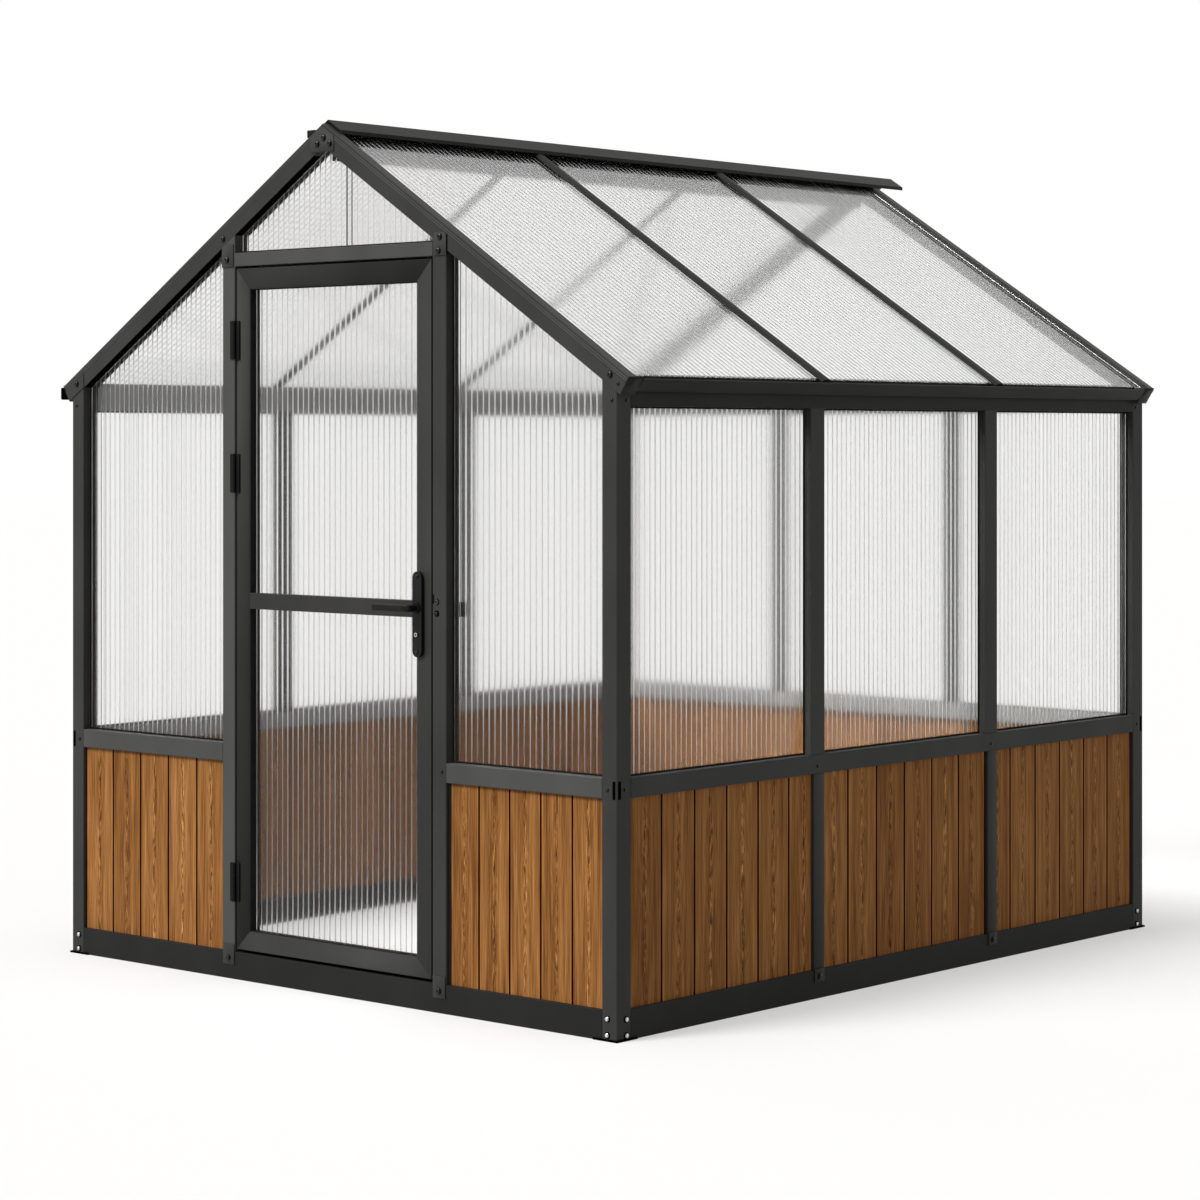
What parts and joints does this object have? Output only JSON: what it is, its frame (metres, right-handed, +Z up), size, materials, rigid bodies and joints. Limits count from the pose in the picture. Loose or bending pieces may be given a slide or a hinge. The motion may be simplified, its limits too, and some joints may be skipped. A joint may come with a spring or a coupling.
{
  "type": "greenhouse",
  "caption": "Gable greenhouse: dark metal frame, fluted translucent glazing over timber lower panels, and a glazed door with a lever handle.",
  "frame": {"origin": "middle of the underside of the front base rail, below the doorway", "axes": "+X to the right of someone who faces the door, +Y from the door towards the rear gable, +Z up"},
  "size_m": [2.217, 2.6975, 2.3963],
  "materials": {
    "frame_coat": "charcoal powder coat, satin",
    "door_coat": "charcoal powder coat, satin",
    "fluted_sheet": "clear fluted polycarbonate",
    "timber": "brown stained boards, matt",
    "black_hardware": "black coat, semi-gloss",
    "steel": "bright"
  },
  "bodies": {
    "frame": {"base_rail_front": "frame_coat", "base_rail_rear": "frame_coat", "base_rail_left": "frame_coat", "base_rail_right": "frame_coat", "corner_post_front_left": "frame_coat", "corner_post_front_right": "frame_coat", "corner_post_rear_left": "frame_coat", "corner_post_rear_right": "frame_coat", "sill_front_left": "frame_coat", "sill_front_right": "frame_coat", "sill_left": "frame_coat", "sill_right": "frame_coat", "sill_rear": "frame_coat", "door_jamb_left": "frame_coat", "door_jamb_right": "frame_coat", "door_header": "frame_coat", "eave_left": "frame_coat", "eave_right": "frame_coat", "rafter_front_left": "frame_coat", "rafter_front_right": "frame_coat", "rafter_rear_left": "frame_coat", "rafter_rear_right": "frame_coat", "roof_bar_left_1": "frame_coat", "roof_bar_left_2": "frame_coat", "roof_bar_right_1": "frame_coat", "roof_bar_right_2": "frame_coat", "ridge": "frame_coat", "mullion_left_1": "frame_coat", "mullion_left_2": "frame_coat", "mullion_right_1": "frame_coat", "mullion_right_2": "frame_coat", "rear_post_left": "frame_coat", "rear_post_right": "frame_coat", "rear_tie": "frame_coat", "hinge_bottom": "black_hardware", "hinge_middle": "black_hardware", "hinge_top": "black_hardware", "pane_front_left": "fluted_sheet", "pane_front_right": "fluted_sheet", "pane_front_gable": "fluted_sheet", "pane_rear": "fluted_sheet", "pane_wall_left": "fluted_sheet", "pane_wall_right": "fluted_sheet", "pane_roof_left": "fluted_sheet", "pane_roof_right": "fluted_sheet", "boards_front_left": "timber", "boards_front_right": "timber", "boards_left": "timber", "boards_right": "timber", "boards_rear": "timber"},
    "door": {"door_stile_hinge": "door_coat", "door_stile_lock": "door_coat", "door_rail_top": "door_coat", "door_rail_bottom": "door_coat", "door_rail_middle": "door_coat", "door_pane": "fluted_sheet", "handle_plate": "black_hardware"},
    "lever": {"lever": "black_hardware"},
    "latch": {"latch_bolt": "steel"},
    "lock": {"lock_plug": "steel"}
  },
  "joints": [
    {"name": "door_swing", "type": "hinge", "parent": "frame", "child": "door", "pos_m": [-0.35275, -0.031, 1.042], "axis": [0, 0, -1], "range_deg": [0, 110]},
    {"name": "lever_turn", "type": "hinge", "parent": "door", "child": "lever", "pos_m": [0.3685, -0.023, 1.07], "axis": [0, -1, 0], "range_deg": [0, 40], "stiffness_Nm_per_rad": 1.5, "springref_deg": -17.19},
    {"name": "latch_slide", "type": "slide", "parent": "door", "child": "latch", "axis": [-1, 0, 0], "range_m": [0, 0.0095]},
    {"name": "key_turn", "type": "hinge", "parent": "door", "child": "lock", "pos_m": [0.3685, -0.023, 0.999], "axis": [0, -1, 0], "range_deg": [0, 90]}
  ],
  "couplings": [
    {"joint": "latch_slide", "follows": "lever_turn", "m_per_rad": 0.0129}
  ]
}
